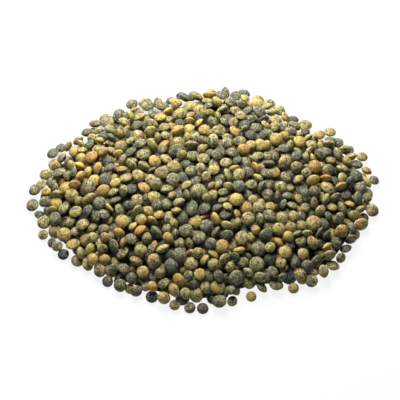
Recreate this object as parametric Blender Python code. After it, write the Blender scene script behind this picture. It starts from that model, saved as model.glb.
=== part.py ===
"""A heap of dry green lentils, poured on a flat surface.

Metres, +Z up. The origin is on the surface, under the middle of the heap's box, and +Y runs
away from the side that the heap is seen from. The heap is one solid: a plain core, and fused on
it the lentils that show, each a lens of its true size. They lie in a single loose layer, which
follows the heap's rounded cone and stands on the surface all round the uneven outline.
"""

import math
import random

import bmesh
import bpy
import numpy as np
from mathutils import Matrix, Vector

# Driving dimensions of the lentils
LENTIL_DIAMETER = 0.0052
LENTIL_THICKNESS = 0.0032
SIZE_SPREAD = 0.1  # standard deviation of the size, as a share
SIZE_LIMITS = (0.8, 1.25)
RIM_SHARE = 0.62  # how much of its round form a lentil keeps towards its edge

# Driving dimensions of the heap
HEAP_HEIGHT = 0.018
HEAP_RADIUS = 0.0595  # mean distance from the peak to the outline, out to the lentils' edges
PEAK_ROUNDING = 1.2  # radius of the rounded top, as a share of the heap's
FOOT = 0.006  # height that is gained within the outermost lentils
# Lobes of the outline: how many there are round the heap, how far they stand out, and the
# direction of the first in degrees
OUTLINE_LOBES = (
    (1, 0.0012, -32),
    (2, 0.0092, 0),
    (3, 0.0008, -31),
    (4, 0.0019, -3),
    (5, 0.0002, -28),
    (6, 0.0008, 13),
    (7, 0.0004, 19),
)

# The core lies this far below the heap's envelope and inside its outline
CORE_COVER = 0.0018
CORE_INSET = 0.0028
CORE_EDGE_HEIGHT = 0.0018
CORE_SEGMENTS = 32
CORE_RINGS = 6

# How the lentils lie
LENTIL_SPACING = 0.0053
RIM_SPACING = (0.0052, 0.0068)
RIM_SCATTER = 0.0018
SINK = 0.001  # centre of a lentil below the envelope
SINK_SCATTER = 0.0002
TILT_SPREAD = 24  # standard deviation from lying along the slope, in degrees
RIM_TILT_SPREAD = 7
FLOOR_GAP = 0.0001
TRIES = 30000

SEED = 12


def clear_scene():
    """Remove the objects that a new file starts with."""
    for thing in list(bpy.data.objects):
        bpy.data.objects.remove(thing)


def add_collection(name):
    """A collection linked to the scene."""
    collection = bpy.data.collections.new(name)
    bpy.context.scene.collection.children.link(collection)
    return collection


def outline_radius(direction):
    """Distance from the heap's peak to its outline in one direction, in radians."""
    radius = HEAP_RADIUS
    for count, height, first in OUTLINE_LOBES:
        radius += height * math.cos(count * (direction - math.radians(first)))
    return radius


def cone_share(share):
    """Height of a rounded cone, from 1 in the middle to 0 where share is 1."""
    tip = PEAK_ROUNDING
    span = math.hypot(1, tip) - tip
    return 1 - (math.hypot(share, tip) - tip) / span


def envelope(x, y):
    """Height of the surface that the tops of the lentils follow."""
    share = min(math.hypot(x, y) / outline_radius(math.atan2(y, x)), 1)
    return (HEAP_HEIGHT - FOOT) * cone_share(share) + FOOT * math.sqrt(1 - share**12)


def slope_normal(x, y):
    """Direction that stands square on the envelope."""
    step = LENTIL_DIAMETER / 2
    rise_x = (envelope(x + step, y) - envelope(x - step, y)) / (2 * step)
    rise_y = (envelope(x, y + step) - envelope(x, y - step)) / (2 * step)
    return Vector((-rise_x, -rise_y, 1)).normalized()


def make_core(collection):
    """The plain mound under the lentils: half a ball, stretched to the outline and the envelope.

    The ball's rings, counted from the top, become evenly spaced rings of the mound. The one below
    its equator becomes the foot of the mound's low upright edge.
    """
    shape = bmesh.new()
    bmesh.ops.create_uvsphere(
        shape, u_segments=CORE_SEGMENTS, v_segments=2 * CORE_RINGS, radius=1
    )
    ring_of = {
        vertex: round(2 * CORE_RINGS * math.acos(max(min(vertex.co.z, 1), -1)) / math.pi)
        for vertex in shape.verts
    }
    below = [vertex for vertex, ring in ring_of.items() if ring > CORE_RINGS + 1]
    bmesh.ops.delete(shape, geom=below, context="VERTS")
    border = [edge for edge in shape.edges if edge.is_boundary]
    bmesh.ops.edgeloop_fill(shape, edges=border)
    for vertex in shape.verts:
        ring = ring_of[vertex]
        direction = math.atan2(vertex.co.y, vertex.co.x)
        radius = min(ring / CORE_RINGS, 1) * (outline_radius(direction) - CORE_INSET)
        x = radius * math.cos(direction)
        y = radius * math.sin(direction)
        z = 0 if ring > CORE_RINGS else max(envelope(x, y) - CORE_COVER, CORE_EDGE_HEIGHT)
        vertex.co = (x, y, z)
    bmesh.ops.recalc_face_normals(shape, faces=shape.faces)
    mesh = bpy.data.meshes.new("lentil_heap")
    shape.to_mesh(mesh)
    shape.free()
    core = bpy.data.objects.new("lentil_heap", mesh)
    collection.objects.link(core)
    return core


def rim_places(draw):
    """Places of the lentils that stand on the surface round the outline."""
    places = []
    direction = 0.0
    while direction < 2 * math.pi - RIM_SPACING[0] / HEAP_RADIUS:
        reach = outline_radius(direction) - LENTIL_DIAMETER / 2
        reach -= draw.uniform(0, RIM_SCATTER)
        places.append((reach * math.cos(direction), reach * math.sin(direction)))
        direction += draw.uniform(*RIM_SPACING) / reach
    return places


def scatter_places(places, draw):
    """Add places inside the outline, spread evenly: each at least the spacing from the others."""
    found = np.array([(x, y, envelope(x, y)) for x, y in places])
    reach = HEAP_RADIUS * 1.1
    for _ in range(TRIES):
        x = draw.uniform(-reach, reach)
        y = draw.uniform(-reach, reach)
        if math.hypot(x, y) > outline_radius(math.atan2(y, x)) - LENTIL_DIAMETER / 2:
            continue
        place = np.array((x, y, envelope(x, y)))
        if ((found - place) ** 2).sum(axis=1).min() > LENTIL_SPACING**2:
            found = np.vstack((found, place))
    return [(x, y) for x, y, _ in found.tolist()]


def lens_mesh():
    """A lentil of unit half width and half thickness with few sides, thinner towards its edge."""
    shape = bmesh.new()
    bmesh.ops.create_icosphere(shape, subdivisions=1, radius=1)
    widest = max(math.hypot(v.co.x, v.co.y) for v in shape.verts)
    for vertex in shape.verts:
        if math.hypot(vertex.co.x, vertex.co.y) > widest / 2:
            vertex.co.z *= RIM_SHARE
        vertex.co.x /= widest
        vertex.co.y /= widest
    mesh = bpy.data.meshes.new("lens")
    shape.to_mesh(mesh)
    shape.free()
    return mesh


def lie(x, y, on_rim, draw):
    """Where and how one lentil lies: its world matrix. On the rim it lies on the surface."""
    size = min(max(draw.gauss(1, SIZE_SPREAD), SIZE_LIMITS[0]), SIZE_LIMITS[1])
    half = Vector((LENTIL_DIAMETER, LENTIL_DIAMETER, LENTIL_THICKNESS)) * size / 2
    tilt = math.radians(draw.gauss(0, RIM_TILT_SPREAD if on_rim else TILT_SPREAD))
    towards = draw.uniform(0, 2 * math.pi)
    upward = Vector((0, 0, 1)) if on_rim else slope_normal(x, y)
    upright = upward.to_track_quat("Z", "Y").to_matrix()
    lean = Matrix.Rotation(tilt, 3, (math.cos(towards), math.sin(towards), 0))
    turn = upright @ lean @ Matrix.Rotation(draw.uniform(0, 2 * math.pi), 3, "Z")
    low = math.sqrt(sum((turn[2][axis] * half[axis]) ** 2 for axis in range(3)))
    z = envelope(x, y) - SINK + draw.uniform(-SINK_SCATTER, SINK_SCATTER)
    z = low + FLOOR_GAP if on_rim else max(z, low + FLOOR_GAP)
    return Matrix.LocRotScale(Vector((x, y, z)), turn.to_quaternion(), half)


def make_lentils(collection):
    """Every lentil that shows, as separate objects that share one mesh."""
    draw = random.Random(SEED)
    mesh = lens_mesh()
    rim = rim_places(draw)
    for number, (x, y) in enumerate(scatter_places(rim, draw)):
        lentil = bpy.data.objects.new(f"lentil_{number}", mesh)
        lentil.matrix_world = lie(x, y, number < len(rim), draw)
        collection.objects.link(lentil)


def fuse(core, lentils):
    """Join the lentils to the core, then remove them."""
    join = core.modifiers.new("fused_lentils", "BOOLEAN")
    join.operation = "UNION"
    join.solver = "MANIFOLD"
    join.operand_type = "COLLECTION"
    join.collection = lentils
    graph = bpy.context.evaluated_depsgraph_get()
    joined = bpy.data.meshes.new_from_object(core.evaluated_get(graph))
    core.modifiers.remove(join)
    core.data = joined
    for lentil in list(lentils.objects):
        bpy.data.objects.remove(lentil)
    bpy.data.collections.remove(lentils)


def pieces_of(shape):
    """The separate bodies of a mesh, as lists of faces."""
    waiting = set(shape.faces)
    pieces = []
    while waiting:
        piece = []
        edge_of_search = [waiting.pop()]
        while edge_of_search:
            face = edge_of_search.pop()
            piece.append(face)
            for edge in face.edges:
                for other in edge.link_faces:
                    if other in waiting:
                        waiting.remove(other)
                        edge_of_search.append(other)
        pieces.append(piece)
    return pieces


def tidy(core):
    """Keep the one largest body, which fills sealed hollows, and centre it on the origin."""
    shape = bmesh.new()
    shape.from_mesh(core.data)
    pieces = sorted(pieces_of(shape), key=len)
    loose = [face for piece in pieces[:-1] for face in piece]
    bmesh.ops.delete(shape, geom=loose, context="FACES")
    across = [vertex.co.x for vertex in shape.verts]
    along = [vertex.co.y for vertex in shape.verts]
    middle = Vector((max(across) + min(across), max(along) + min(along), 0)) / 2
    bmesh.ops.translate(shape, verts=shape.verts, vec=-middle)
    shape.to_mesh(core.data)
    shape.free()


def paint(thing):
    """Dark olive green, dry and slightly glossy."""
    material = bpy.data.materials.new("green_lentil")
    material.use_nodes = True
    surface = material.node_tree.nodes["Principled BSDF"]
    surface.inputs["Base Color"].default_value = (0.115, 0.105, 0.055, 1)
    surface.inputs["Roughness"].default_value = 0.5
    surface.inputs["Metallic"].default_value = 0.0
    thing.data.materials.clear()
    thing.data.materials.append(material)


def main():
    clear_scene()
    heap = add_collection("heap_of_lentils")
    lentils = add_collection("loose_lentils")
    core = make_core(heap)
    make_lentils(lentils)
    fuse(core, lentils)
    tidy(core)
    paint(core)


main()
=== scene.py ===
"""Looks for a heap of dry green lentils on a white surface.

The lentils are dropped one by one on a height map of the heap, each as a lens that comes to rest
on those below it, until the heap reaches its envelope. Those of the outline are dropped first.
Each kind of lentil is one mesh.
"""

import math
import bpy
import numpy as np
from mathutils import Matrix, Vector


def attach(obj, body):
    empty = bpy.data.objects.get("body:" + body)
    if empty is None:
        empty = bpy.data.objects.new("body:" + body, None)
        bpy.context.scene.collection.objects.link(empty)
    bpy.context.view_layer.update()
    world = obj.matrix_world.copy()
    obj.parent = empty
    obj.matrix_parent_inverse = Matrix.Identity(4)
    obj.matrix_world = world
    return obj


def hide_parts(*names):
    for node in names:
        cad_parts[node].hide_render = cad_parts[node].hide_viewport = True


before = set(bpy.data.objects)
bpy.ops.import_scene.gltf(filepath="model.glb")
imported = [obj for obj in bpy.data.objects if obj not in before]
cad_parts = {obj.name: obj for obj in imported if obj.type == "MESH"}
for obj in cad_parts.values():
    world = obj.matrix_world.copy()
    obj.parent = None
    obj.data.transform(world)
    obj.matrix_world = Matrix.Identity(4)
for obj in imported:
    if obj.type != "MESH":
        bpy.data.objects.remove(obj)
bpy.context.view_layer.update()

# Heap, close to the solid's: a rounded cone on an uneven outline
HEAP_HEIGHT = 0.018
HEAP_RADIUS = 0.0580  # mean distance from the peak to the outline
PEAK_ROUNDING = 1.2  # radius of the rounded top, as a share of the heap's
FOOT = 0.006  # height that is gained within the outermost lentils
FOOT_POWER = 12  # how near the edge that height is gained
# Lobes of the outline: how many there are round the heap, how far they stand out, and the
# direction of the first in degrees
OUTLINE_LOBES = (
    (1, 0.0015, -42),
    (2, 0.0093, 0),
    (3, 0.0010, -26),
    (4, 0.0024, -3),
    (6, 0.0010, 13),
    (7, 0.0008, 16),
    (8, 0.0005, 8),
)
EDGE_INSET = 0.0010  # centres of the outermost lentils inside the outline
EDGE_TOP = 0.0008  # least height of the envelope inside the outline

# Waves that make the envelope uneven, and fade towards its edge
UNEVENNESS = 0.0022
WAVE_COUNT = 10
WAVE_NUMBERS = (60, 220)  # radians a metre
WAVE_FADE = 1.2  # share of the way out at which they would end

# Lentils
LENTIL_RADIUS = 0.0026
SIZE_SPREAD = 0.11
SIZE_LIMITS = (0.78, 1.28)
LENGTHS = (0.97, 1.03)  # half length over radius
WIDTHS = (0.95, 1.02)  # half width over radius
PLUMPNESS = (0.53, 0.69)  # half thickness over radius
PROFILE_POWER = 0.72
PROFILE_RADII = (0.34, 0.62, 0.82, 0.94)
SEGMENTS = 16

# Wear of a lentil, as shares of its half sizes
MEAN_WEAR = 0.8
EDGE_WEAR = 0.016
EDGE_LOBES = (1, 2, 3, 5)  # how many lobes each wave of the worn edge has
WHOLE_TURN = 6.3  # radians, rounded
DENTS = 3
DENT_SPREAD = 0.5  # how far from the middle the dents lie
DENT_REACH = (0.25, 0.5)
DENT_DEPTH = 0.16

# Height map, and the places on it where lentils are dropped
CELL = 0.0003
MAP_HALF = 0.081
COVER_DEPTH = 0.0072  # the core's top below the envelope
PROBE_STEP = 5  # cells from one place to the next
PROBE_LEAST = 0.0006  # least height of the envelope at such a place
WANTED_SCATTER = 0.0006  # how unevenly the envelope is reached
LEAST_MISSING = 0.0011  # the heap is full where less than this is missing
REFUSAL = 0.0005  # how much less is wanted where a lentil rolled away
LANDING = 0.0003  # how much less is wanted where one came to rest

# How a lentil comes to rest on the map
WINDOW = 11  # cells from its middle to the end of the part of the map that it may touch
CANDIDATES = 24  # places and turns that it tries at a time
REACH = 4  # how many cells from where it is dropped it may come to rest
EDGE_REACH = 2  # the same for a lentil of the outline
# Its two searches: by what the reach is divided, and by how many radians they change its tilt and
# the way in which it tilts
SEARCHES = ((1, 0.14, 0.4), (3, 0.1, 0.2))
SPIN_SPREAD = 1  # radians by which both change how it is turned about itself
GAP_WEIGHT = 0.35  # how much it avoids a place where it hangs over a gap
SINK = 0.0004  # least depth of its centre below the envelope
RIM_CLIMB = 2.2  # how high it may lie at the edge, in half thicknesses
FLAT_TILT = 42  # standard deviation from lying along the slope, in degrees
STEEP_SHARE = 0.25  # share of the lentils that lie at any of the steep tilts instead
STEEP_TILTS = (35, 90)
MOST_SLOPE = 0.45  # steepest slope that it lies along
LEAST_SLOPE = 0.001  # slope under which the heap counts as level
LEVEL_BELOW = 0.005  # height of the heap under which it lies ever more along the slope
LEVEL_LEAST = 0.12  # least share of its tilt that it keeps there
NEAR_X = 0.9  # share along X from which a direction counts as near the X axis

# Core: a dark mound under the lentils whose colour is painted shade, the deep shade that falls
# between them
CORE_INSET = 0.0055
CORE_RINGS = 24
CORE_SEGMENTS = 72
# The core's thin edge is a dark sheet of painted shade between the outermost lentils
CORE_EDGE_HEIGHT = 0.0003
CORE_GRAIN = 500
# Painted shade: two dark browns, mottled at CORE_GRAIN, for the deep shade between the lentils
CORE_SHADE_COLORS = ((0.35, (0.020, 0.015, 0.012, 1)), (0.65, (0.060, 0.048, 0.032, 1)))
CORE_ROUGHNESS = 0.8

SEED = 7

# Camera
PHOTO_SIZE = 400
ELEVATION = 60
DISTANCE = 0.90
FOCAL_PIXELS = 2213
SENSOR_WIDTH = 36
AIM = (-0.0005, -0.0013, 0.0)

# Lentils of the photograph, as the pixels of their middles: those that make its outline, and a few
# in the heap that stand out by their colour
EDGE_LENTILS = (
    (37, 213), (43, 222), (53, 232), (62, 239), (68, 245), (62, 256), (76, 261), (86, 267),
    (98, 268), (109, 275), (118, 282), (129, 290), (152, 299), (163, 294), (182, 301), (194, 299),
    (211, 300), (225, 296), (237, 293), (252, 298), (263, 290), (276, 286), (288, 279), (302, 281),
    (314, 275), (334, 267), (334, 254), (347, 250), (357, 236), (366, 220), (368, 206), (369, 195),
    (362, 178), (358, 164), (350, 150), (338, 142), (322, 133), (306, 124), (294, 118), (280, 110),
    (271, 103), (260, 100), (245, 92), (225, 92), (212, 92), (203, 94), (191, 95), (181, 94),
    (170, 99), (158, 102), (143, 102), (134, 105), (118, 114), (107, 117), (90, 131), (76, 141),
    (60, 147), (54, 165), (44, 173), (40, 183), (33, 191),
)
STRIKING_LENTILS = {
    "black": ((134, 153), (246, 134), (180, 95), (347, 250), (152, 299), (62, 256)),
    "rust": ((100, 152), (93, 159), (38, 205), (236, 207), (293, 273), (137, 275), (75, 184)),
    "tan": (
        (186, 130), (203, 130), (117, 154), (156, 120), (187, 117), (66, 187), (141, 189),
        (198, 176), (193, 226), (241, 254), (251, 236), (258, 226), (285, 235), (247, 210),
        (193, 299), (252, 298), (62, 239), (129, 290), (151, 223), (108, 243), (40, 174),
    ),
    "slate": ((197, 145), (143, 124), (106, 212), (94, 195), (182, 301), (211, 300), (225, 296)),
}
SEEN_WITHIN = 5  # pixels from such a place to the middle of the lentil that takes it
EDGE_HEIGHT = 0.0016  # height of the middle of a lentil that lies on the surface

# Kinds of lentil: share of the heap, ground colours between which the lentils vary, and how much
# of the coat the slate-coloured marbling covers, from least to most
KINDS = {
    "slate": (0.27, ((0.32, 0.32, 0.13), (0.49, 0.39, 0.14)), (0.54, 0.64)),
    "marbled": (0.33, ((0.40, 0.37, 0.135), (0.51, 0.41, 0.138)), (0.47, 0.55)),
    "olive": (0.22, ((0.42, 0.38, 0.12), (0.51, 0.415, 0.13)), (0.43, 0.50)),
    "tan": (0.14, ((0.50, 0.40, 0.105), (0.53, 0.35, 0.095)), (0.38, 0.46)),
    "black": (0.01, ((0.19, 0.19, 0.10), (0.25, 0.23, 0.11)), (0.68, 0.74)),
    "rust": (0.02, ((0.50, 0.31, 0.08), (0.50, 0.23, 0.05)), (0.38, 0.48)),
}
SLATE_DARK = (0.026, 0.029, 0.027, 1)
SLATE_PALE = (0.146, 0.156, 0.129, 1)
SPECK = (0.024, 0.021, 0.019, 1)
PALE_FLECK = (0.48, 0.44, 0.19, 1)
RUST_TINT = (0.51, 0.195, 0.03, 1)

# Patterns of the coat, each a noise: its scale, its detail, the values between which it sets in,
# and how strongly it covers what lies under it
PATTERNS = {
    "rust": (420, 3, (0.54, 0.67), 0.85),
    "pale_slate": (1500, 3, (0.38, 0.64), 1.0),
    "fleck": (2700, 1, (0.60, 0.66), 0.75),
    "speck": (2900, 1, (0.55, 0.60), 0.85),
}
# The marbling sets in where its noise is less than its cover, which varies from patch to patch
MARBLE_SCALE = 1900
MARBLE_DISTORTION = 0.3
MARBLE_ROUGHNESS = 0.75
MARBLE_SOFTNESS = 0.025
PATCH_SCALE = 600
PATCHINESS = 0.5
# From this far out on a lentil, the bare ground shows again
RIM_FROM = 0.92
RIM_BARENESS = 0.4
# Dull, finely grained surface
GRAIN_SCALE = 3200
GRAIN_ENDS = (0.3, 0.7)
COAT_ROUGHNESS = (0.5, 0.68)
COAT_SPECULAR = 0.1
BUMP_STRENGTH = 0.4
BUMP_DISTANCE = 0.0001
COAT_PLACES = 1  # metres either way in which each lentil has a place of its own in the patterns

# Light: soft lamps as place, width and power, the light that comes from everywhere, and a floor
# that glows like a light table, so that shadows on it are faint
LAMPS = {
    "key": ((-0.06, 0.32, 0.15), 0.3, 1.55),
    "top": ((-0.04, 0.13, 0.245), 0.2, 1.6),
    "front_fill": ((0.0, -0.87, 0.50), 0.7, 0.08),
}
ROOM_LIGHT = (0.03, 0.05, 0.13, 1)
FLOOR_HALF = 3.0
FLOOR_GLOW = 0.87
FLOOR_COLOR = (0.1, 0.1, 0.1, 1)
FLOOR_ROUGHNESS = 0.9

rng = np.random.default_rng(SEED)


def outline_radius(direction):
    """Distance from the peak to the outline."""
    radius = np.full_like(direction, HEAP_RADIUS)
    for count, height, first in OUTLINE_LOBES:
        radius += height * np.cos(count * (direction - math.radians(first)))
    return radius


def view():
    """Where the camera is, and the directions forward and up in its picture."""
    rise = math.radians(ELEVATION)
    forward = np.array((0, math.cos(rise), -math.sin(rise)))
    up = np.array((0, math.sin(rise), math.cos(rise)))
    return np.array(AIM) - DISTANCE * forward, forward, up


def place_of(pixel, height):
    """The point at a height that is seen at a pixel of the photograph."""
    eye, forward, up = view()
    across, down = (np.array(pixel) - PHOTO_SIZE / 2) / FOCAL_PIXELS
    ray = forward + np.array((across, 0, 0)) - down * up
    return eye + ray * (height - eye[2]) / ray[2]


def seen_at(points):
    """The pixels at which points are seen, and how far away they are."""
    eye, forward, up = view()
    away = points - eye
    depth = away @ forward
    spots = np.stack((away[:, 0], -(away @ up)), axis=1) / depth[:, None]
    return spots * FOCAL_PIXELS + PHOTO_SIZE / 2, depth


def make_waves():
    """Long low waves: how close their crests are, which way they run and where they start."""
    return [
        (rng.uniform(*WAVE_NUMBERS), rng.uniform(0, 2 * math.pi), rng.uniform(0, 2 * math.pi))
        for _ in range(WAVE_COUNT)
    ]


def envelope(x, y, waves):
    """Height that the lentils reach."""
    share = np.hypot(x, y) / (outline_radius(np.arctan2(y, x)) - EDGE_INSET)
    span = math.hypot(1, PEAK_ROUNDING) - PEAK_ROUNDING
    cone = (HEAP_HEIGHT - FOOT) * (1 - (np.hypot(share, PEAK_ROUNDING) - PEAK_ROUNDING) / span)
    cone += FOOT * np.sqrt(np.maximum(1 - share**FOOT_POWER, 0))
    bump = sum(
        np.sin(number * (x * math.cos(way) + y * math.sin(way)) + start)
        for number, way, start in waves
    )
    height = cone + UNEVENNESS * bump / WAVE_COUNT * np.clip(WAVE_FADE - share, 0, 1)
    return np.where(share < 1, np.maximum(height, EDGE_TOP), np.minimum(cone, 0))


def turns(normals, spins):
    """Rotation matrices that put +Z along the normals and turn by the spins about it."""
    up = normals / np.linalg.norm(normals, axis=1, keepdims=True)
    other = np.where(np.abs(up[:, :1]) > NEAR_X, [[0.0, 1.0, 0.0]], [[1.0, 0.0, 0.0]])
    side = np.cross(other, up)
    side /= np.linalg.norm(side, axis=1, keepdims=True)
    third = np.cross(up, side)
    cos = np.cos(spins)[:, None]
    sin = np.sin(spins)[:, None]
    return np.stack([cos * side + sin * third, cos * third - sin * side, up], axis=2)


def surfaces(semi, matrices, across, along):
    """Lower and upper surface of turned ellipsoids about their centres, and where they exist.

    The two heights at a point are the roots of the ellipsoid's equation there.
    """
    form = np.einsum("kij,j,klj->kil", matrices, 1 / semi**2, matrices)
    form = form[:, :, :, None, None]
    b = form[:, 0, 2] * across + form[:, 1, 2] * along
    c = form[:, 0, 0] * across**2 + 2 * form[:, 0, 1] * across * along
    c = c + form[:, 1, 1] * along**2 - 1
    a = form[:, 2, 2]
    under_root = b * b - a * c
    root = np.sqrt(np.maximum(under_root, 0))
    return (-b - root) / a, (-b + root) / a, under_root > 0


class Heap:
    """A height map on which lentils come to rest, up to the envelope."""

    def __init__(self, waves):
        self.count = int(2 * MAP_HALF / CELL) + 1
        self.ticks = (np.arange(self.count) - self.count // 2) * CELL
        x, y = np.meshgrid(self.ticks, self.ticks)
        self.top = envelope(x, y, waves)
        self.map = np.maximum(self.top - COVER_DEPTH, 0)
        slope_y, slope_x = np.gradient(self.top, CELL)
        slope = np.maximum(np.hypot(slope_x, slope_y), LEAST_SLOPE)
        easing = np.minimum(1, MOST_SLOPE / slope)
        self.slope_x = slope_x * easing
        self.slope_y = slope_y * easing
        step = np.arange(-WINDOW, WINDOW + 1) * CELL
        self.across, self.along = np.meshgrid(step, step)

    def patch(self, row, column):
        """The part of the map round a place."""
        rows = slice(row - WINDOW, row + WINDOW + 1)
        return self.map[rows, column - WINDOW : column + WINDOW + 1]

    def try_places(self, semi, row, column, tilt, way, spin):
        """Let a lentil down at several places and turns.

        Returns the best place and turn, the height of the lentil's centre there, its rotation and
        its upper surface.
        """
        row = np.clip(row, WINDOW, self.count - WINDOW - 1)
        column = np.clip(column, WINDOW, self.count - WINDOW - 1)
        top = self.top[row, column]
        lean = tilt * np.clip(top / LEVEL_BELOW, LEVEL_LEAST, 1)
        normals = np.stack(
            [
                np.sin(lean) * np.cos(way) - self.slope_x[row, column],
                np.sin(lean) * np.sin(way) - self.slope_y[row, column],
                np.cos(lean),
            ],
            axis=1,
        )
        matrices = turns(normals, spin)
        low, high, solid = surfaces(semi, matrices, self.across, self.along)
        under = np.stack([self.patch(i, j) for i, j in zip(row, column)])
        height = np.where(solid, under - low, -1).max(axis=(1, 2))
        gap = np.where(solid, height[:, None, None] + low - under, 0).sum(axis=(1, 2))
        gap /= solid.sum(axis=(1, 2))
        best = int(np.argmin(height - top + GAP_WEIGHT * gap))
        shape = np.where(solid[best], height[best] + high[best], -1)
        found = (row[best], column[best], tilt[best], way[best], spin[best])
        return found, height[best], matrices[best], shape

    def drop(self, row, column, reach=REACH):
        """Drop one lentil near a place. Returns its row, its column and the lentil.

        A lentil is its centre, its half sizes and its rotation. It rolls away, and nothing is
        returned, where it would stand out of the heap.
        """
        size = LENTIL_RADIUS * float(np.clip(rng.normal(1, SIZE_SPREAD), *SIZE_LIMITS))
        semi = size * np.array(
            [rng.uniform(*LENGTHS), rng.uniform(*WIDTHS), rng.uniform(*PLUMPNESS)]
        )
        steep = rng.random() < STEEP_SHARE
        tilt = math.radians(rng.uniform(*STEEP_TILTS) if steep else abs(rng.normal(0, FLAT_TILT)))
        found = (row, column, tilt, rng.uniform(0, 2 * math.pi), rng.uniform(0, 2 * math.pi))
        for part, tilt_spread, way_spread in SEARCHES:
            step = reach / part
            found, height, matrix, shape = self.try_places(
                semi,
                found[0] + np.rint(rng.uniform(-step, step, CANDIDATES)).astype(int),
                found[1] + np.rint(rng.uniform(-step, step, CANDIDATES)).astype(int),
                found[2] + rng.normal(0, tilt_spread, CANDIDATES),
                found[3] + rng.normal(0, way_spread, CANDIDATES),
                found[4] + rng.normal(0, SPIN_SPREAD, CANDIDATES),
            )
        row, column = found[:2]
        if height > max(self.top[row, column] - SINK, semi[2] * RIM_CLIMB):
            return None
        patch = self.patch(row, column)
        np.maximum(patch, shape, out=patch)
        centre = np.array((self.ticks[column], self.ticks[row], height))
        return row, column, (centre, semi, matrix)

    def drop_outline(self):
        """Drop the lentils that make the photograph's outline, where it shows them."""
        pile = []
        for pixel in EDGE_LENTILS:
            place = place_of(pixel, EDGE_HEIGHT)[:2]
            column, row = np.rint((place - self.ticks[0]) / CELL).astype(int)
            dropped = self.drop(row, column, EDGE_REACH)
            if dropped is not None:
                pile.append(dropped[2])
        return pile

    def fill(self):
        """Drop lentils until the envelope is reached, and return them.

        Those of the outline come first. Each other one is dropped where the most is missing.
        """
        places = np.arange(WINDOW + 1, self.count - WINDOW - 1, PROBE_STEP)
        rows, columns = (axis.ravel() for axis in np.meshgrid(places, places, indexing="ij"))
        inside = self.top[rows, columns] > PROBE_LEAST
        rows = rows[inside]
        columns = columns[inside]
        wanted = self.top[rows, columns] + rng.normal(0, WANTED_SCATTER, len(rows))
        pile = self.drop_outline()
        missing = wanted - self.map[rows, columns]
        while missing.max() > LEAST_MISSING:
            probe = int(np.argmax(missing))
            dropped = self.drop(rows[probe], columns[probe])
            if dropped is None:
                wanted[probe] -= REFUSAL
                missing[probe] -= REFUSAL
                continue
            row, column, lentil = dropped
            pile.append(lentil)
            near = (np.abs(rows - row) <= WINDOW) & (np.abs(columns - column) <= WINDOW)
            near[probe] = True
            wanted[probe] -= LANDING
            missing[near] = wanted[near] - self.map[rows[near], columns[near]]
        return pile


def closed_faces(rings, segments):
    """Triangles of a closed shape: a top point, rings of points down from it, and a last point."""
    last = rings * segments + 1
    faces = []
    for spot in range(segments):
        beside = (spot + 1) % segments
        faces.append((0, 1 + spot, 1 + beside))
        for ring in range(rings - 1):
            a = 1 + ring * segments + spot
            b = 1 + ring * segments + beside
            faces.append((a, a + segments, b + segments))
            faces.append((a, b + segments, b))
        faces.append((last, last - segments + beside, last - segments + spot))
    return np.array(faces)


def lens():
    """Points of a lens of unit half sizes, and its triangles."""
    rings = [(r, (1 - r * r) ** PROFILE_POWER) for r in PROFILE_RADII]
    rings = rings + [(1.0, 0.0)] + [(r, -z) for r, z in reversed(rings)]
    angles = np.arange(SEGMENTS) * 2 * math.pi / SEGMENTS
    points = [(0.0, 0.0, 1.0)]
    for radius, height in rings:
        points += [(radius * math.cos(t), radius * math.sin(t), height) for t in angles]
    points.append((0.0, 0.0, -1.0))
    return np.array(points), closed_faces(len(rings), SEGMENTS)


LENS_POINTS, LENS_FACES = lens()


def worn_lens(wear):
    """Points of the lens with a slightly uneven edge and shallow dents."""
    points = LENS_POINTS.copy()
    angle = np.arctan2(points[:, 1], points[:, 0])
    edge = 1 + sum(
        rng.normal(0, EDGE_WEAR * wear / lobes)
        * np.cos(lobes * angle + rng.uniform(0, WHOLE_TURN))
        for lobes in EDGE_LOBES
    )
    points[:, :2] *= edge[:, None]
    for _ in range(DENTS):
        place = rng.normal(0, DENT_SPREAD, 2)
        face = 1 if rng.random() < 0.5 else -1
        reach = rng.uniform(*DENT_REACH)
        depth = rng.uniform(0, DENT_DEPTH) * wear
        far = ((points[:, :2] - place) ** 2).sum(axis=1) / reach**2
        points[:, 2] *= 1 - depth * np.exp(-far) * (points[:, 2] * face > 0)
    return points


def mesh_object(name, points, faces, values, material):
    """An object from arrays, with the values as point attributes."""
    mesh = bpy.data.meshes.new(name)
    mesh.vertices.add(len(points))
    mesh.vertices.foreach_set("co", points.astype(np.float32).ravel())
    mesh.loops.add(faces.size)
    mesh.loops.foreach_set("vertex_index", faces.astype(np.int32).ravel())
    mesh.polygons.add(len(faces))
    mesh.polygons.foreach_set("loop_start", np.arange(0, faces.size, 3, dtype=np.int32))
    mesh.polygons.foreach_set("loop_total", np.full(len(faces), 3, dtype=np.int32))
    mesh.update(calc_edges=True)
    for key, value in values.items():
        kind, field = ("FLOAT", "value") if value.ndim == 1 else ("FLOAT_VECTOR", "vector")
        attribute = mesh.attributes.new(key, kind, "POINT")
        attribute.data.foreach_set(field, value.astype(np.float32).ravel())
    mesh.shade_smooth()
    mesh.materials.append(material)
    thing = bpy.data.objects.new(name, mesh)
    bpy.context.scene.collection.objects.link(thing)
    return thing


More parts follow.
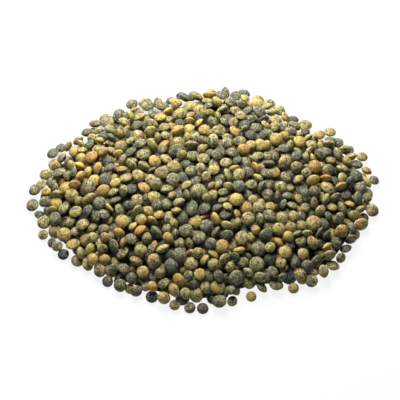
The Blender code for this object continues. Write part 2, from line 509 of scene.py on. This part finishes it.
class Nodes:
    """A new material, with short calls for its nodes. Most return the socket that they end in."""

    def __init__(self, name):
        self.material = bpy.data.materials.new(name)
        self.material.use_nodes = True
        self.tree = self.material.node_tree
        self.shader = self.tree.nodes["Principled BSDF"]

    def add(self, kind, inputs, **settings):
        """A node with its inputs linked or set. Returns the node."""
        node = self.tree.nodes.new(kind)
        for key, value in settings.items():
            setattr(node, key, value)
        for key, value in inputs.items():
            self.feed(node.inputs[key], value)
        return node

    def feed(self, socket, value):
        """Link a value to an input, or set it."""
        if isinstance(value, bpy.types.NodeSocket):
            self.tree.links.new(value, socket)
        else:
            socket.default_value = value

    def finish(self, values):
        """Feed the shader's inputs. Returns the material."""
        for name, value in values.items():
            self.feed(self.shader.inputs[name], value)
        return self.material

    def attribute(self, name, field="Fac"):
        """A value that the mesh holds."""
        return self.add("ShaderNodeAttribute", {}, attribute_name=name).outputs[field]

    def noise(self, vector, scale, detail, distortion=0.0, roughness=0.5):
        """Noise from 0 to 1."""
        inputs = {
            "Vector": vector,
            "Scale": scale,
            "Detail": detail,
            "Roughness": roughness,
            "Distortion": distortion,
        }
        return self.add("ShaderNodeTexNoise", inputs).outputs["Fac"]

    def math(self, operation, *values):
        """A value worked out from others."""
        return self.add("ShaderNodeMath", dict(enumerate(values)), operation=operation).outputs[0]

    def span(self, value, low, high, to_low=0.0, to_high=1.0):
        """A value that runs between two ends while another runs between two others."""
        inputs = {
            "Value": value,
            "From Min": low,
            "From Max": high,
            "To Min": to_low,
            "To Max": to_high,
        }
        return self.add("ShaderNodeMapRange", inputs).outputs["Result"]

    def mix(self, factor, first, second):
        """A colour between two others. The node's colour inputs are its seventh and eighth."""
        inputs = {0: factor, 6: first, 7: second}
        return self.add("ShaderNodeMix", inputs, data_type="RGBA").outputs[2]

    def ramp(self, factor, *stops):
        """A colour from two stops, each a position and a colour."""
        node = self.add("ShaderNodeValToRGB", {"Fac": factor})
        for element, (position, color) in zip(node.color_ramp.elements, stops):
            element.position = position
            element.color = color
        return node.outputs["Color"]

    def pattern(self, place, name):
        """How strongly one of the coat's patterns covers it."""
        scale, detail, ends, most = PATTERNS[name]
        return self.span(self.noise(place, scale, detail), *ends, 0.0, most)


def coat(name, grounds, covers):
    """Seed coat: a ground with rusty patches, slate marbling, fine specks and a pale edge."""
    nodes = Nodes(name)
    place = nodes.attribute("coat", "Vector")
    ground = nodes.ramp(
        nodes.attribute("tone"), (0.0, (*grounds[0], 1)), (1.0, (*grounds[1], 1))
    )
    ground = nodes.mix(nodes.pattern(place, "rust"), ground, RUST_TINT)
    slate = nodes.mix(nodes.pattern(place, "pale_slate"), SLATE_DARK, SLATE_PALE)
    cover = nodes.span(nodes.attribute("cover"), 0.0, 1.0, *covers)
    patches = nodes.noise(place, PATCH_SCALE, 1)
    patchy = nodes.math("MULTIPLY_ADD", patches, PATCHINESS, -PATCHINESS / 2)
    cover = nodes.math("ADD", cover, patchy)
    marble = nodes.noise(place, MARBLE_SCALE, 3, MARBLE_DISTORTION, MARBLE_ROUGHNESS)
    beyond = nodes.math("SUBTRACT", cover, marble)
    color = nodes.mix(nodes.span(beyond, -MARBLE_SOFTNESS, MARBLE_SOFTNESS), ground, slate)
    color = nodes.mix(nodes.pattern(place, "fleck"), color, PALE_FLECK)
    color = nodes.mix(nodes.pattern(place, "speck"), color, SPECK)
    rim = nodes.span(nodes.attribute("rim"), RIM_FROM, 1.0, 0.0, RIM_BARENESS)
    grain = nodes.noise(place, GRAIN_SCALE, 3)
    bump = nodes.add(
        "ShaderNodeBump", {"Height": grain, "Strength": BUMP_STRENGTH, "Distance": BUMP_DISTANCE}
    )
    look = {
        "Base Color": nodes.mix(rim, color, ground),
        "Specular IOR Level": COAT_SPECULAR,
        "Roughness": nodes.span(grain, *GRAIN_ENDS, *COAT_ROUGHNESS),
        "Normal": bump.outputs["Normal"],
    }
    return nodes.finish(look)


def pick_kinds(pile):
    """The kind of each lentil, by its number in KINDS: by chance, or as the photograph shows it.

    Of the lentils that are seen close to a striking one's place, the nearest to the camera is it.
    """
    shares = np.array([share for share, _, _ in KINDS.values()])
    picks = rng.choice(len(shares), len(pile), p=shares / shares.sum())
    spots, depth = seen_at(np.array([centre for centre, _, _ in pile]))
    for kind, places in STRIKING_LENTILS.items():
        for place in places:
            near = np.hypot(*(spots - place).T) < SEEN_WITHIN
            if near.any():
                picks[np.argmin(np.where(near, depth, np.inf))] = list(KINDS).index(kind)
    return picks


def make_lentils(pile):
    """One mesh for each kind of lentil.

    Its attributes are each point's place in the coat's patterns, how far out it lies on its
    lentil, and the lentil's tone and how much marbling covers it.
    """
    picks = pick_kinds(pile)
    pieces = []
    for index, (name, (_, grounds, covers)) in enumerate(KINDS.items()):
        chosen = [lentil for lentil, pick in zip(pile, picks) if pick == index]
        points = []
        values = {"coat": [], "rim": [], "tone": [], "cover": []}
        for centre, semi, matrix in chosen:
            shape = worn_lens(rng.exponential(MEAN_WEAR)) * semi
            points.append(shape @ matrix.T + centre)
            values["coat"].append(shape + rng.uniform(-COAT_PLACES, COAT_PLACES, 3))
            values["rim"].append(np.hypot(LENS_POINTS[:, 0], LENS_POINTS[:, 1]))
            values["tone"].append(np.full(len(shape), rng.random()))
            values["cover"].append(np.full(len(shape), rng.random()))
        offsets = np.arange(len(chosen))[:, None, None] * len(LENS_POINTS)
        faces = (LENS_FACES[None] + offsets).reshape(-1, 3)
        values = {key: np.concatenate(lists) for key, lists in values.items()}
        material = coat(f"coat_{name}", grounds, covers)
        pieces.append(
            mesh_object(f"lentils_{name}", np.concatenate(points), faces, values, material)
        )
    return pieces


def make_core(waves):
    """A dark mound under the lentils, painted the colour of the deep shade between them, so that
    nothing shows through between them.
    """
    angles = np.arange(CORE_SEGMENTS) * 2 * math.pi / CORE_SEGMENTS
    points = [(0.0, 0.0)]
    for ring in range(1, CORE_RINGS + 1):
        reach = (outline_radius(angles) - CORE_INSET) * ring / CORE_RINGS
        points += list(zip(reach * np.cos(angles), reach * np.sin(angles)))
    points = np.array(points)
    heights = envelope(points[:, 0], points[:, 1], waves) - COVER_DEPTH
    upper = np.column_stack((points, np.maximum(heights, CORE_EDGE_HEIGHT)))
    lower = upper[-CORE_SEGMENTS:].copy()
    lower[:, 2] = 0
    points = np.concatenate((upper, lower, np.zeros((1, 3))))
    nodes = Nodes("core_painted_shade")
    place = nodes.add("ShaderNodeNewGeometry", {}).outputs["Position"]
    # Painted shade: dark browns mottled by noise, the colour of the shade deep between the lentils
    color = nodes.ramp(nodes.noise(place, CORE_GRAIN, 4), *CORE_SHADE_COLORS)
    material = nodes.finish({"Base Color": color, "Roughness": CORE_ROUGHNESS})
    faces = closed_faces(CORE_RINGS + 1, CORE_SEGMENTS)
    return mesh_object("lentils_core", points, faces, {}, material)


def make_floor():
    """A plain white surface."""
    corners = np.array([(-1, -1, 0), (1, -1, 0), (1, 1, 0), (-1, 1, 0)]) * FLOOR_HALF
    faces = np.array([(0, 1, 2), (0, 2, 3)])
    look = {
        "Base Color": FLOOR_COLOR,
        "Roughness": FLOOR_ROUGHNESS,
        "Specular IOR Level": 0.0,
        "Emission Color": (1, 1, 1, 1),
        "Emission Strength": FLOOR_GLOW,
    }
    material = Nodes("white_surface").finish(look)
    mesh_object("floor", corners, faces, {}, material)


def make_lamp(name, place, width, power):
    """A round soft lamp that looks at the heap."""
    light = bpy.data.lights.new(name, "AREA")
    light.shape = "DISK"
    light.size = width
    light.energy = power
    lamp = bpy.data.objects.new(name, light)
    lamp.location = place
    lamp.rotation_euler = (-Vector(place)).to_track_quat("-Z", "Y").to_euler()
    bpy.context.scene.collection.objects.link(lamp)


def make_light():
    """The lamps, most of their light from behind and above, in a dim bluish room."""
    world = bpy.data.worlds.new("dim_room")
    world.use_nodes = True
    world.node_tree.nodes["Background"].inputs["Color"].default_value = ROOM_LIGHT
    bpy.context.scene.world = world
    for name, lamp in LAMPS.items():
        make_lamp(name, *lamp)
    bpy.context.scene.view_settings.view_transform = "Standard"


def make_camera():
    """The photograph's view."""
    data = bpy.data.cameras.new("camera")
    data.sensor_width = SENSOR_WIDTH
    data.lens = FOCAL_PIXELS / PHOTO_SIZE * SENSOR_WIDTH
    camera = bpy.data.objects.new("camera", data)
    eye, forward, _ = view()
    camera.location = eye
    camera.rotation_euler = Vector(forward).to_track_quat("-Z", "Y").to_euler()
    bpy.context.scene.collection.objects.link(camera)
    bpy.context.scene.camera = camera


waves = make_waves()
pieces = make_lentils(Heap(waves).fill())
pieces.append(make_core(waves))
for piece in pieces:
    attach(piece, "root")
    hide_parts("lentil_heap")
make_floor()
make_light()
make_camera()
